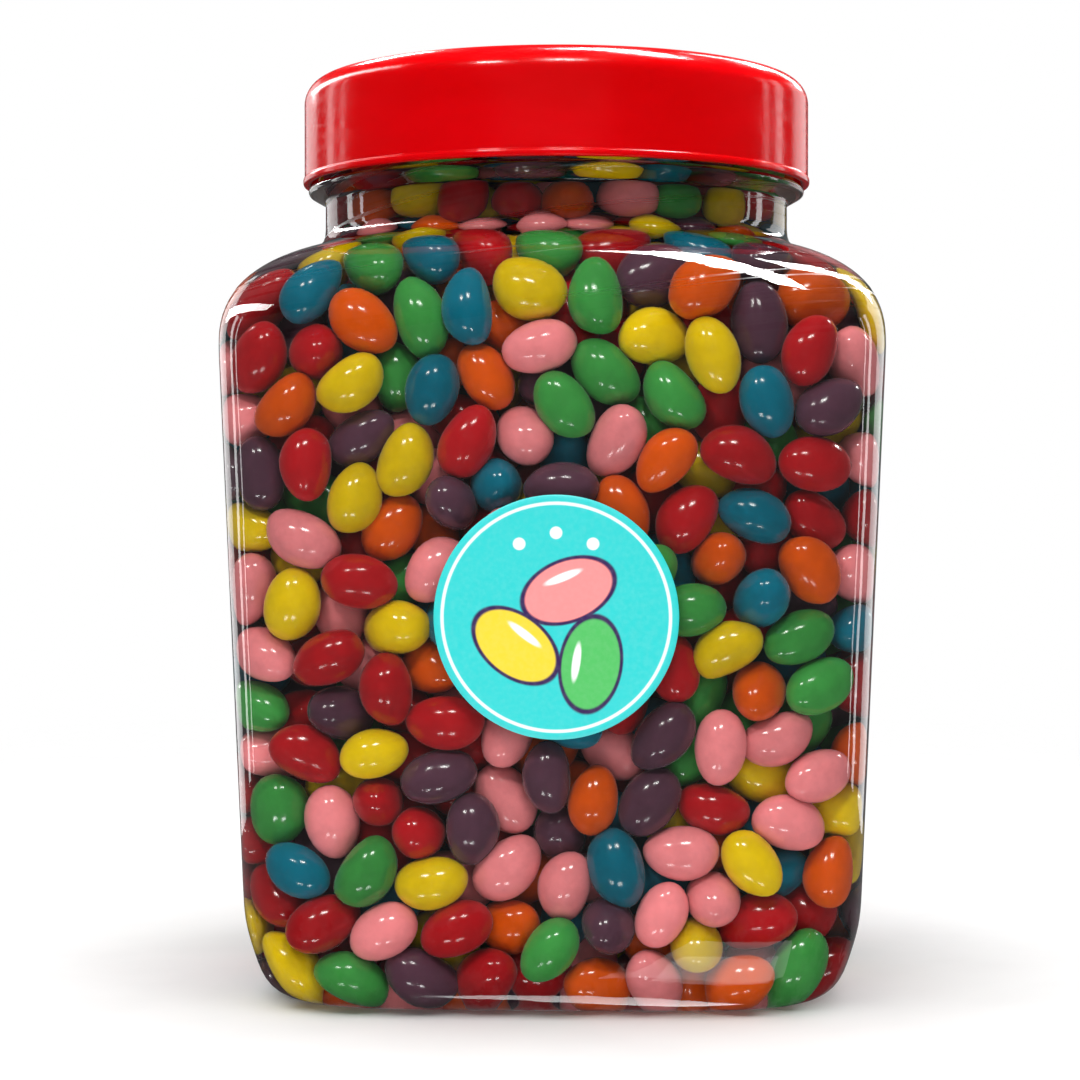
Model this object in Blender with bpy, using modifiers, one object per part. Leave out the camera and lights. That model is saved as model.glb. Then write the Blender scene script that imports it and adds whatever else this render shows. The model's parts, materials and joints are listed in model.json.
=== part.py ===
"""Bulk candy jar: a clear rounded-square jar, a red screw cap with its liner, a round front label
and jelly beans.

Metres, Z up. The jar stands on z = 0, its axis is the Z axis and its label faces -Y.
The beans that lie on top are pieces of their own; the beans under them are one solid fill.
"""

import math

import bmesh
import bpy
import numpy as np
from mathutils import Matrix, Vector

MM = 0.001
GAP = 0.3 * MM  # clearance between pieces that touch

# Driving sizes
TOTAL_HEIGHT = 216.5 * MM
BODY_WIDTH = 154.5 * MM  # across the widest section, at SHOULDER_START
BASE_WIDTH = 143.5 * MM  # across the section just above the heel
CAP_DIAMETER = 123 * MM
NECK_RADIUS = 56.4 * MM
WALL = 0.9 * MM

# Body: a rounded square that narrows downwards, a sloping heel, a shoulder that turns round
SECTION_POWER = 5.3  # a circle has 2, a square has infinity
ROUND = 2.0
HEEL_HEIGHT = 17.5 * MM
HEEL_TAPER = 3.4 * MM
HEEL_FILLET_REACH = 9.5 * MM
HEEL_FILLET_HEIGHT = 6.4 * MM
SHOULDER_START = 153 * MM
SHOULDER_RISE = 24.5 * MM
SHOULDER_REACH = 36 * MM  # the neck cuts the shoulder's curve off before it gets this far
SHOULDER_POWER = 2.33

# Base: a foot ring round a shallow push-up
FOOT_WIDTH = 8 * MM
PUSH_UP = 5 * MM
PUSH_UP_RINGS = ((0.5, 0.86, 2.3), (0.86, 0.34, 3.2))  # part of its width, part of its height, power

# Cap and liner
CAP_BOTTOM = 191 * MM
CAP_WALL = 1.6 * MM
CAP_TOP_THICKNESS = 2.0 * MM
CAP_EDGE_RADIUS = 6.0 * MM
CAP_LIP_HEIGHT = 1.6 * MM
CAP_LIP_REACH = 0.35 * MM
CAP_INNER_CORNER = 1.0 * MM
LINER_RADIUS = 59.0 * MM
LINER_THICKNESS = 1.2 * MM

# Neck and finish
BEAD_RADIUS = 60.5 * MM
BEAD_BOTTOM = 186.6 * MM
BEAD_TOP = 190.4 * MM
BEAD_SLOPE = 1.2 * MM
FINISH_RADIUS = 58.1 * MM  # the thread's root
RIM_TOP = TOTAL_HEIGHT - CAP_TOP_THICKNESS - LINER_THICKNESS - 2 * GAP
RIM_CHAMFER = 0.5 * MM

# Screw thread: single start, right-hand, five turns to the inch
THREAD_PITCH = 5.08 * MM
THREAD_HEIGHT = 1.2 * MM
THREAD_ROOT_HALF = 1.35 * MM
THREAD_CREST_HALF = 0.55 * MM
THREAD_SINK = 0.6 * MM  # how far a ridge reaches into the wall it grows from
THREAD_START = RIM_TOP - 10.6 * MM
JAR_THREAD_TURNS = (0.0, 1.25)
CAP_THREAD_TURNS = (-0.25, 0.9)
THREAD_OFFSET = 1.92 * MM  # the cap's ridge sits this far under the jar's
THREAD_FADE = 0.06  # part of a turn over which a ridge rises out of its wall
THREAD_BURIED = 0.25  # how deep a ridge's ends lie in the wall, in ridge heights

# Label
LABEL_RADIUS = 26.7 * MM
LABEL_HEIGHT = 89 * MM
LABEL_SIDE = 1.9 * MM  # how far its middle is to the right of the jar's axis
LABEL_THICKNESS = 0.2 * MM

# Jelly beans
BEAN_LENGTH = 17 * MM
BEAN_WIDTH = 12 * MM
BEAN_THICKNESS = 11.4 * MM
BEAN_BEND = 0.7 * MM
BEAN_BEND_LIFT = 0.4  # keeps a bent bean about its own middle
BEAN_TAPER = 0.05
BEAN_SIZES = (0.94, 1.04)
BEAN_COUNT = 42
BEAN_END_OFFSET = 2.9 * MM
BEAN_END_RADIUS = 5.6 * MM
BEAN_MARGIN = 0.35 * MM
FILL_TOP = 188.4 * MM
FILL_GAP = 0.4 * MM
FILL_EDGE = 2.0 * MM
DROP_SPREAD = 0.62  # part of the neck's radius over which beans are poured
DROP_HEIGHT = 8 * MM
DROP_SPACING = 0.45 * MM
SETTLE_STEPS = 1400
SETTLE_FALLING = 0.7  # part of the steps in which the beans still fall
SETTLE_DROP = 0.09 * MM
SETTLE_PUSH = 0.3  # part of an overlap that one step undoes
SEED = 1207
TINY = 1e-9

# Facets
SEGMENTS = 64
HEEL_STEPS = 4
BODY_STEPS = 4
SHOULDER_STEPS = 8
EDGE_STEPS = 4
LABEL_SEGMENTS = 40
LABEL_RINGS = 3
BEAN_SEGMENTS = 10
BEAN_RINGS = 7

BEAN_COLOURS = {
    "red": (0.62, 0.02, 0.03),
    "orange": (0.90, 0.22, 0.02),
    "yellow": (0.88, 0.70, 0.03),
    "green": (0.05, 0.45, 0.10),
    "blue": (0.01, 0.22, 0.38),
    "purple": (0.07, 0.03, 0.09),
    "pink": (0.90, 0.36, 0.43),
}


# ---------------------------------------------------------------- scene helpers


def clear_scene():
    for obj in list(bpy.data.objects):
        bpy.data.objects.remove(obj)


def make_material(name, colour, roughness, transmission=0.0, alpha=1.0):
    material = bpy.data.materials.new(name)
    material.use_nodes = True
    shader = material.node_tree.nodes["Principled BSDF"]
    shader.inputs["Base Color"].default_value = (*colour, 1)
    shader.inputs["Roughness"].default_value = roughness
    shader.inputs["Transmission Weight"].default_value = transmission
    shader.inputs["Alpha"].default_value = alpha
    material.diffuse_color = (*colour, alpha)
    return material


def add_object(name, bm, collection, material=None):
    """A smooth-shaded object of the bmesh, which is freed."""
    mesh = bpy.data.meshes.new(name)
    for face in bm.faces:
        face.smooth = True
    bm.to_mesh(mesh)
    bm.free()
    obj = bpy.data.objects.new(name, mesh)
    if material:
        mesh.materials.append(material)
    collection.objects.link(obj)
    return obj


def add_union(obj, cutter):
    cutter.hide_render = True
    cutter.display_type = "WIRE"
    union = obj.modifiers.new(cutter.name, "BOOLEAN")
    union.operation = "UNION"
    union.solver = "EXACT"
    union.object = cutter


# ---------------------------------------------------------------- sections and lofts


def section_point(size, power, turn):
    """Point at a turn (0 to 1) of the rounded square |x|^power + |y|^power = size^power."""
    cosine = round(math.cos(math.tau * turn), 12)
    sine = round(math.sin(math.tau * turn), 12)
    x = math.copysign(size * abs(cosine) ** (2 / power), cosine)
    y = math.copysign(size * abs(sine) ** (2 / power), sine)
    return x, y


def loft(rings):
    """A surface through rings (size, height, power); a ring of size 0 is a single point."""
    bm = bmesh.new()
    rows = []
    for size, height, power in rings:
        if size == 0:
            rows.append([bm.verts.new((0, 0, height))] * SEGMENTS)
            continue
        points = [section_point(size, power, k / SEGMENTS) for k in range(SEGMENTS)]
        rows.append([bm.verts.new((x, y, height)) for x, y in points])
    for lower, upper in zip(rows, rows[1:]):
        for k in range(SEGMENTS):
            after = (k + 1) % SEGMENTS
            corners = [lower[k], lower[after], upper[after], upper[k]]
            bm.faces.new(list(dict.fromkeys(corners)))
    bmesh.ops.recalc_face_normals(bm, faces=bm.faces)
    return bm


def blend(start, end, part):
    return start + (end - start) * part


def vessel_profile():
    """The jar's outer side (size, height, power), from the middle of its base up to its neck."""
    heel = BASE_WIDTH / 2 - HEEL_TAPER
    foot_outer = heel - HEEL_FILLET_REACH
    foot_inner = foot_outer - FOOT_WIDTH
    profile = [(0, PUSH_UP, ROUND)]
    for reach, rise, power in PUSH_UP_RINGS:
        profile.append((foot_inner * reach, PUSH_UP * rise, power))
    profile.append((foot_inner, 0, SECTION_POWER))
    for k in range(HEEL_STEPS + 1):
        angle = math.pi / 2 * k / HEEL_STEPS
        size = foot_outer + HEEL_FILLET_REACH * math.sin(angle)
        height = HEEL_FILLET_HEIGHT * (1 - math.cos(angle))
        profile.append((size, height, SECTION_POWER))
    for k in range(BODY_STEPS):
        part = k / BODY_STEPS
        size = blend(BASE_WIDTH, BODY_WIDTH, part) / 2
        profile.append((size, blend(HEEL_HEIGHT, SHOULDER_START, part), SECTION_POWER))
    profile += [shoulder_ring(k / SHOULDER_STEPS) for k in range(SHOULDER_STEPS + 1)]
    return profile


def shoulder_ring(part):
    """Ring of the shoulder, from part 0 on the body's side to part 1 at the foot of the neck."""

    def rise(across):
        return (1 - across**SHOULDER_POWER) ** (1 / SHOULDER_POWER)

    neck = 1 - (BODY_WIDTH / 2 - NECK_RADIUS) / SHOULDER_REACH
    across = blend(neck, 1, math.cos(math.pi / 2 * part) ** (2 / SHOULDER_POWER))
    across = min(max(across, neck), 1)
    size = BODY_WIDTH / 2 - SHOULDER_REACH * (1 - across)
    power = blend(SECTION_POWER, ROUND, rise(across) / rise(neck))
    return size, SHOULDER_START + SHOULDER_RISE * rise(across), power


def inset(profile, depth):
    """The profile moved inwards by a depth, along its own normals."""
    moved = []
    for k, (size, height, power) in enumerate(profile):
        before = profile[max(k - 1, 0)]
        after = profile[min(k + 1, len(profile) - 1)]
        run = Vector((after[0] - before[0], after[1] - before[1])).normalized()
        if size == 0:
            moved.append((0, height + depth, power))
        else:
            moved.append((size - run.y * depth, height + run.x * depth, power))
    return moved


def helical_ridge(root, crest, start, turns):
    """A thread ridge from the root radius to the crest radius, sunk into the wall it grows from."""
    bm = bmesh.new()
    sink = math.copysign(THREAD_SINK, root - crest)
    steps = round((turns[1] - turns[0]) * SEGMENTS)
    rows = []
    for k in range(steps + 1):
        turn = blend(turns[0], turns[1], k / steps)
        rise = min(turn - turns[0], turns[1] - turn) / THREAD_FADE
        top = blend(root, crest, blend(-THREAD_BURIED, 1.0, min(rise, 1.0)))
        height = start + THREAD_PITCH * turn
        direction = Vector((math.cos(math.tau * turn), math.sin(math.tau * turn), 0))
        corners = (
            (root + sink, -THREAD_ROOT_HALF),
            (top, -THREAD_CREST_HALF),
            (top, THREAD_CREST_HALF),
            (root + sink, THREAD_ROOT_HALF),
        )
        rows.append([bm.verts.new(direction * r + Vector((0, 0, height + z))) for r, z in corners])
    for near, far in zip(rows, rows[1:]):
        for k in range(4):
            after = (k + 1) % 4
            bm.faces.new((near[k], near[after], far[after], far[k]))
    bm.faces.new(rows[0])
    bm.faces.new(rows[-1])
    bmesh.ops.recalc_face_normals(bm, faces=bm.faces)
    return bm


# ---------------------------------------------------------------- pieces


def build_jar(collection, cutters):
    outer = vessel_profile()
    neck_start = outer[-1][1]
    neck = [
        (NECK_RADIUS, BEAD_BOTTOM, ROUND),
        (BEAD_RADIUS, BEAD_BOTTOM + BEAD_SLOPE, ROUND),
        (BEAD_RADIUS, BEAD_TOP - BEAD_SLOPE, ROUND),
        (FINISH_RADIUS, BEAD_TOP, ROUND),
        (FINISH_RADIUS, RIM_TOP - RIM_CHAMFER, ROUND),
        (FINISH_RADIUS - RIM_CHAMFER, RIM_TOP, ROUND),
        (NECK_RADIUS - WALL, RIM_TOP, ROUND),
        (NECK_RADIUS - WALL, neck_start, ROUND),
    ]
    inner = inset(outer, WALL)[::-1]
    material = make_material("clear_jar", (0.95, 0.97, 0.97), 0.05, transmission=1.0, alpha=0.3)
    jar = add_object("jar_body", loft(outer + neck + inner), collection, material)
    crest = FINISH_RADIUS + THREAD_HEIGHT
    ridge = helical_ridge(FINISH_RADIUS, crest, THREAD_START, JAR_THREAD_TURNS)
    add_union(jar, add_object("jar_thread", ridge, cutters))
    return jar


def cap_profile():
    """The cap's half section (radius, height) at +X: from its top middle, down outside, up inside."""
    radius = CAP_DIAMETER / 2
    inside = radius - CAP_WALL
    ceiling = TOTAL_HEIGHT - CAP_TOP_THICKNESS
    points = [(0, TOTAL_HEIGHT)]
    for k in range(EDGE_STEPS + 1):
        angle = math.pi / 2 * k / EDGE_STEPS
        x = radius - CAP_EDGE_RADIUS * (1 - math.sin(angle))
        points.append((x, TOTAL_HEIGHT - CAP_EDGE_RADIUS * (1 - math.cos(angle))))
    points += [
        (radius, CAP_BOTTOM + CAP_LIP_HEIGHT),
        (radius + CAP_LIP_REACH, CAP_BOTTOM + CAP_LIP_HEIGHT - CAP_LIP_REACH),
        (radius + CAP_LIP_REACH, CAP_BOTTOM + CAP_LIP_REACH),
        (radius, CAP_BOTTOM),
        (inside + CAP_LIP_REACH, CAP_BOTTOM),
        (inside, CAP_BOTTOM + CAP_LIP_REACH),
        (inside, ceiling - CAP_INNER_CORNER),
        (inside - CAP_INNER_CORNER / 2, ceiling),
        (0, ceiling),
    ]
    return points


def turn_profile(name, points, collection, material):
    """A solid turned about Z from a half section whose two ends lie on the axis."""
    mesh = bpy.data.meshes.new(name)
    edges = [(k, k + 1) for k in range(len(points) - 1)]
    mesh.from_pydata([(x, 0, z) for x, z in points], edges, [])
    mesh.materials.append(material)
    obj = bpy.data.objects.new(name, mesh)
    collection.objects.link(obj)
    screw = obj.modifiers.new("turn", "SCREW")
    screw.axis = "Z"
    screw.steps = SEGMENTS
    screw.render_steps = SEGMENTS
    screw.use_merge_vertices = True
    screw.merge_threshold = 0.00005
    screw.use_smooth_shade = True
    return obj


def build_cap(collection, cutters):
    material = make_material("red_plastic", (0.80, 0.0, 0.01), 0.2)
    cap = turn_profile("screw_cap", cap_profile(), collection, material)
    root = CAP_DIAMETER / 2 - CAP_WALL
    start = THREAD_START - THREAD_OFFSET
    ridge = helical_ridge(root, root - THREAD_HEIGHT, start, CAP_THREAD_TURNS)
    add_union(cap, add_object("cap_thread", ridge, cutters))
    return cap


def build_liner(collection):
    top = TOTAL_HEIGHT - CAP_TOP_THICKNESS - GAP
    bottom = top - LINER_THICKNESS
    points = [(0, top), (LINER_RADIUS, top), (LINER_RADIUS, bottom), (0, bottom)]
    material = make_material("foam_liner", (0.86, 0.86, 0.84), 0.7)
    return turn_profile("cap_liner", points, collection, material)


def front_of_jar(x, height):
    """The Y of the jar's outer front face at an x and a height on its straight side."""
    part = (height - HEEL_HEIGHT) / (SHOULDER_START - HEEL_HEIGHT)
    size = blend(BASE_WIDTH, BODY_WIDTH, part) / 2
    return -((size**SECTION_POWER - abs(x) ** SECTION_POWER) ** (1 / SECTION_POWER))


def build_label(collection):
    """A round sticker that follows the front face."""
    bm = bmesh.new()
    middle = bm.verts.new((LABEL_SIDE, front_of_jar(LABEL_SIDE, LABEL_HEIGHT) - GAP, LABEL_HEIGHT))
    rows = [[middle] * LABEL_SEGMENTS]
    for ring in range(1, LABEL_RINGS + 1):
        radius = LABEL_RADIUS * ring / LABEL_RINGS
        row = []
        for k in range(LABEL_SEGMENTS):
            angle = math.tau * k / LABEL_SEGMENTS
            x = LABEL_SIDE + radius * math.cos(angle)
            z = LABEL_HEIGHT + radius * math.sin(angle)
            row.append(bm.verts.new((x, front_of_jar(x, z) - GAP, z)))
        rows.append(row)
    for near, far in zip(rows, rows[1:]):
        for k in range(LABEL_SEGMENTS):
            after = (k + 1) % LABEL_SEGMENTS
            bm.faces.new(list(dict.fromkeys((near[k], far[k], far[after], near[after]))))
    material = make_material("label_print", (0.03, 0.72, 0.72), 0.35)
    label = add_object("front_label", bm, collection, material)
    shell = label.modifiers.new("thickness", "SOLIDIFY")
    shell.thickness = LABEL_THICKNESS
    shell.offset = 1
    return label


def build_fill(collection):
    """The beans under the top layer, as one solid that follows the inside of the jar."""
    outer = vessel_profile()
    side = inset(outer, WALL + FILL_GAP)
    radius = NECK_RADIUS - WALL - FILL_GAP
    top = [
        (radius, outer[-1][1], ROUND),
        (radius, FILL_TOP - FILL_EDGE / 2, ROUND),
        (radius - FILL_EDGE, FILL_TOP, ROUND),
        (0, FILL_TOP, ROUND),
    ]
    material = make_material("bean_bulk", (0.35, 0.13, 0.08), 0.35)
    return add_object("candy_fill", loft(side + top), collection, material)


# ---------------------------------------------------------------- loose beans on top


def settle_beans(rng):
    """Centres, axes and sizes of beans that have come to rest on the fill, inside the neck.

    A bean counts as three balls in a row. Every step lowers the beans a little, then pushes
    balls apart, away from the wall and up from the fill.
    """
    sizes = rng.uniform(*BEAN_SIZES, BEAN_COUNT)
    radius = NECK_RADIUS - WALL
    spread = radius * DROP_SPREAD
    centres = rng.uniform(-1, 1, (BEAN_COUNT, 3)) * (spread, spread, 0)
    centres[:, 2] = FILL_TOP + DROP_HEIGHT + np.arange(BEAN_COUNT) * DROP_SPACING
    axes = rng.uniform(-1, 1, (BEAN_COUNT, 3)) * (1, 1, 0.5)
    axes /= np.sqrt((axes**2).sum(axis=1))[:, None]
    offsets = np.array([-1, 0, 1]) * BEAN_END_OFFSET
    radii = np.array([BEAN_END_RADIUS, BEAN_WIDTH / 2, BEAN_END_RADIUS])
    ball_radii = (sizes[:, None] * radii).ravel() + BEAN_MARGIN / 2
    owner = np.repeat(np.arange(BEAN_COUNT), 3)
    apart = owner[:, None] != owner[None, :]
    reach = ball_radii[:, None] + ball_radii[None, :]
    arms = sizes[:, None] * offsets
    for step in range(SETTLE_STEPS):
        falling = step < SETTLE_STEPS * SETTLE_FALLING
        centres[:, 2] -= SETTLE_DROP if falling else 0
        balls = (centres[:, None, :] + arms[:, :, None] * axes[:, None, :]).reshape(-1, 3)
        away = balls[:, None, :] - balls[None, :, :]
        distance = np.sqrt((away**2).sum(axis=2)) + TINY
        overlap = np.where(apart, np.maximum(reach - distance, 0), 0)
        push = (away * (overlap / distance)[:, :, None]).sum(axis=1) * SETTLE_PUSH
        flat = np.sqrt(balls[:, 0] ** 2 + balls[:, 1] ** 2) + TINY
        outside = np.maximum(flat + ball_radii + BEAN_MARGIN / 2 - radius, 0) / flat
        push[:, :2] -= balls[:, :2] * outside[:, None]
        push[:, 2] += np.maximum(FILL_TOP + BEAN_MARGIN / 2 + ball_radii - balls[:, 2], 0)
        push = push.reshape(BEAN_COUNT, 3, 3)
        centres += push.sum(axis=1) / 2
        twist = (push * arms[:, :, None]).sum(axis=1)
        axes += twist / (arms**2).sum(axis=1)[:, None] / 2
        axes /= np.sqrt((axes**2).sum(axis=1))[:, None]
    return centres, axes, sizes


def bean_shape(size):
    """A bean of a size, its long axis along X, with a slight bend and one fuller end."""
    bm = bmesh.new()
    bmesh.ops.create_uvsphere(bm, u_segments=BEAN_SEGMENTS, v_segments=BEAN_RINGS, radius=1)
    for vert in bm.verts:
        along = vert.co.z
        girth = 1 + BEAN_TAPER * along
        x = along * BEAN_LENGTH / 2
        y = vert.co.x * BEAN_WIDTH / 2 * girth
        bend = BEAN_BEND * (BEAN_BEND_LIFT - along**2)
        z = vert.co.y * BEAN_THICKNESS / 2 * girth + bend
        vert.co = Vector((x, y, z)) * size
    bmesh.ops.recalc_face_normals(bm, faces=bm.faces)
    return bm


def build_beans(collection):
    rng = np.random.default_rng(SEED)
    centres, axes, sizes = settle_beans(rng)
    names = list(BEAN_COLOURS)
    picks = [k % len(names) for k in range(BEAN_COUNT)]
    rng.shuffle(picks)
    rolls = rng.uniform(0, math.tau, BEAN_COUNT)
    for k, (centre, axis, size) in enumerate(zip(centres, axes, sizes)):
        colour = names[picks[k]]
        material = make_material(f"bean_{k + 1:02d}_{colour}", BEAN_COLOURS[colour], 0.25)
        bm = bean_shape(size)
        turn = Vector((1, 0, 0)).rotation_difference(Vector(axis)).to_matrix().to_4x4()
        place = Matrix.Translation(Vector(centre)) @ turn @ Matrix.Rotation(rolls[k], 4, "X")
        bmesh.ops.transform(bm, matrix=place, verts=bm.verts)
        add_object(f"jelly_bean_{k + 1:02d}", bm, collection, material)


def main():
    clear_scene()
    collection = bpy.data.collections.new("bulk_candy_jar")
    cutters = bpy.data.collections.new("cutters")
    bpy.context.scene.collection.children.link(collection)
    bpy.context.scene.collection.children.link(cutters)
    build_jar(collection, cutters)
    build_cap(collection, cutters)
    build_liner(collection)
    build_label(collection)
    build_fill(collection)
    build_beans(collection)


main()
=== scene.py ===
"""Looks of the bulk candy jar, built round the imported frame.

The jar, its cap, the liner and the label are made again as fine meshes where the frame has them.
The solid fill is replaced by single jelly beans that are packed into the jar, and the beans of the
top layer are rounded out where they lie. Metres, Z up; the label faces -Y.
"""

import json
import math

import bmesh
import bpy
import numpy as np
from mathutils import Matrix, Vector


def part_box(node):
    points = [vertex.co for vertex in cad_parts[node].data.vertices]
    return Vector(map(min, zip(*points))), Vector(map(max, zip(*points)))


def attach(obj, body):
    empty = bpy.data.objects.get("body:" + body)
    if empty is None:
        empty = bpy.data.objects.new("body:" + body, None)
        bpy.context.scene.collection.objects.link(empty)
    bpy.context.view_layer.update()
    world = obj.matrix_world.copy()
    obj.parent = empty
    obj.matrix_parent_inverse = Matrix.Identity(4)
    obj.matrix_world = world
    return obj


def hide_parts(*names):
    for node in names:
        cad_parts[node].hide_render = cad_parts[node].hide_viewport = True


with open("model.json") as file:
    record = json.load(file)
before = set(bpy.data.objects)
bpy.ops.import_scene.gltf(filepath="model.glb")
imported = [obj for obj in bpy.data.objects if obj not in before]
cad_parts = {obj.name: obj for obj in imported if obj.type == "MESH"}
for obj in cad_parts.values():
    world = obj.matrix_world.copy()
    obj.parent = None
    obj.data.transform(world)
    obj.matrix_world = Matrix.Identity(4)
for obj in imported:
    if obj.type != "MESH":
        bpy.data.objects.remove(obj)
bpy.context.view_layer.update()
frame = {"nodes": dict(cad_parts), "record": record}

MM = 0.001
TINY = 1e-9

# Sizes that the frame's pieces have
GAP = 0.3 * MM  # between the jar's face and the back of the label
BODY_WIDTH = 154.5 * MM
BASE_WIDTH = 143.5 * MM
CAP_DIAMETER = 123 * MM
NECK_RADIUS = 56.4 * MM
WALL = 0.9 * MM
SECTION_POWER = 5.3  # of the rounded square that the body's sections are
ROUND = 2.0  # the power of a circle
HEEL_HEIGHT = 17.5 * MM
HEEL_TAPER = 3.4 * MM
HEEL_FILLET_REACH = 9.5 * MM
HEEL_FILLET_HEIGHT = 6.4 * MM
SHOULDER_START = 153 * MM
SHOULDER_RISE = 24.5 * MM
SHOULDER_REACH = 36 * MM
SHOULDER_POWER = 2.33
FOOT_WIDTH = 8 * MM
PUSH_UP = 5 * MM
PUSH_UP_RINGS = ((0.5, 0.86, 2.3), (0.86, 0.34, 3.2))  # shares of reach and rise, power
BEAD_RADIUS = 60.5 * MM
BEAD_BOTTOM = 186.6 * MM
BEAD_TOP = 190.4 * MM
BEAD_EDGE = 1.0 * MM
BEAD_FOOT = ((0, -0.5), (0.15, 0), (0.6, 0.3))  # mm out from the neck and up from BEAD_BOTTOM
BEAD_SLOPE_START = (1.2 * MM, 0.6 * MM)  # out and up in the same way
BEAD_SLOPE_RISE = 0.35 * MM
FINISH_RADIUS = 58.1 * MM
RIM_CHAMFER = 0.5 * MM
THREAD_PITCH = 5.08 * MM
THREAD_HEIGHT = 1.2 * MM
THREAD_ROOT_HALF = 1.35 * MM
THREAD_CREST_HALF = 0.55 * MM
THREAD_BELOW_RIM = 10.6 * MM
THREAD_OFFSET = 1.92 * MM  # how much lower the cap's thread starts than the jar's
THREAD_FADE = 0.06  # turns in which a thread's end sinks into the wall
JAR_THREAD_TURNS = (0.0, 1.25)
CAP_THREAD_TURNS = (-0.25, 0.9)
CAP_WALL = 1.6 * MM
CAP_TOP_THICKNESS = 2.0 * MM
CAP_EDGE_RADIUS = 6.0 * MM
CAP_LIP_HEIGHT = 1.6 * MM
CAP_LIP_REACH = 0.35 * MM
CAP_INNER_CORNER = 1.0 * MM
CAP_GATE = ((0, 0.25), (1.2, 0.25), (1.7, 0.2), (2.1, 0.04), (2.6, 0))  # radius and depth in mm
LABEL_THICKNESS = 0.2 * MM
BEAN_LENGTH = 17 * MM
BEAN_WIDTH = 12 * MM
BEAN_THICKNESS = 11.4 * MM
BEAN_END_OFFSET = 2.9 * MM
BEAN_END_RADIUS = 5.6 * MM

# Places that the frame gives
TOTAL_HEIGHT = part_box("screw_cap")[1].z
CAP_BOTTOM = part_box("screw_cap")[0].z
RIM_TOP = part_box("jar_body")[1].z
FILL_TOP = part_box("candy_fill")[1].z
LABEL_LOW, LABEL_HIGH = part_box("front_label")

# Mesh fineness
SEGMENTS = 192
PROFILE_STEP = 1.8 * MM
PROFILE_SMOOTHING = 4  # rounding of the heel and the body
NECK_SMOOTHING = 3  # rounding of the corner between shoulder and neck, and of all else
THREAD_STEP = 0.35 * MM
HEEL_STEPS = 12
SHOULDER_STEPS = 32
BEAD_STEPS = 9
CAP_EDGE_STEPS = 14
CAP_LIP_STEPS = 8
LABEL_SEGMENTS = 120
LABEL_RINGS = 26
TOP_BEAN_CUTS = 10  # squares along each edge of the cube that is blown up into a bean
OUTER_BEAN_CUTS = 7
INNER_BEAN_CUTS = 3

# Packing of the beans under the top layer
PACKED_SHARE = 0.64  # of the fill's volume that is bean
PACK_STEPS = 320
PACK_START = 0.62  # the beans' size when the packing starts
PACK_GROWING = 0.62  # part of the steps in which they grow
PACK_PUSH = 0.34  # the part of an overlap that one step takes away
PACK_REFRESH = 8  # steps between two searches for neighbours
PACK_RISE = 3.0 * MM  # how far they may rise between the beans of the top layer
NEIGHBOUR_SLACK = 3 * MM  # beans this much further apart than touching are neighbours too
START_DEPTH = 6 * MM  # how far inside the wall they start
BEAN_SIZES = (0.95, 1.05)
WALL_MARGIN = 0.6 * MM
HELD_OFF = 4.5 * MM  # how far from the wall neighbours may hold a bean
HEAP_RADIUS = 49.5 * MM  # the heap inside the neck is narrower than the neck
HEAP_FROM = 168 * MM  # the height where it starts to narrow
HEAP_OVER = 11 * MM  # and the height over which it does
BEAN_MARGIN = 0.1 * MM
BASE_LIFT = 3 * MM  # the beans stand clear of the foot's hollow edge
FINE_DEPTH = 25 * MM  # beans deeper than this don't show
FINE_HEIGHT = 160 * MM
SEED = 4151

# Shape of a single bean
BEAN_BENDS = (0.1 * MM, 1.3 * MM)
BEAN_TAPERS = (-0.08, 0.10)
BEAN_GIRTHS = (0.97, 1.03)
BEAN_LENGTHS = (0.94, 1.02)
LUMP_WAVES = 2.2  # how fine the slight lumps are
LUMP_DEPTH = 0.012

# Print of the label: places and sizes in label radii, angles in degrees
INK_EDGE = 0.008
AQUA = (0.024, 0.59, 0.59)
WHITE = (0.92, 0.95, 0.95)
OUTLINE = (0.035, 0.012, 0.09)
RING_RADIUS = 0.93
RING_HALF_WIDTH = 0.012
DOT_RADIUS = 0.05
DOTS = ((-0.30, 0.60), (0.0, 0.69), (0.30, 0.60))
PRINTED_BEAN = (0.37, 0.235)
OUTLINE_WIDTH = 0.028
PRINTED_BEANS = (
    (0.10, 0.22, 22, (0.95, 0.27, 0.27)),
    (-0.33, -0.23, -38, (0.85, 0.62, 0.03)),
    (0.28, -0.38, 82, (0.08, 0.50, 0.12)),
)

# Studio
CENTRE = (0, 0, 0.11)  # the point that the lamps are turned to
SIDE_CARDS = ((108, 0.05, 0.5), (119, 0.12, 1.0), (146, 0.5, 1.6))  # degrees from the front, width, W
CARD_DISTANCE = 1.25
ROOM_IN_GLOSS = 0.05  # brightness of the room in the gloss of solid things
ROOM_IN_JAR = 0.1  # and in the jar's own sharp reflections
FLOOR_RADIUS = 1.5
FLOOR_FADE = (0.16, 0.75)  # distances from the object where the floor starts to fade and is gone
CAMERA_AT = (0.0162, -0.6386, 0.1144)
CAMERA_LENS = 86.55
CAMERA_DOWN = 0.87  # degrees below the horizontal
CAMERA_LEFT = 1.81  # degrees towards the label

# Bean colours as (colour, share of the beans), linear
BEANS = {
    "red": ((0.335, 0.005, 0.008), 0.22),
    "orange": ((0.53, 0.064, 0.001), 0.13),
    "yellow": ((0.60, 0.40, 0.001), 0.13),
    "green": ((0.036, 0.225, 0.042), 0.12),
    "blue": ((0.001, 0.108, 0.165), 0.12),
    "purple": ((0.070, 0.0265, 0.044), 0.13),
    "pink": ((0.74, 0.205, 0.220), 0.13),
}


# ---------------------------------------------------------------- meshes


def blend(start, end, part):
    return start + (end - start) * part


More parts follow.
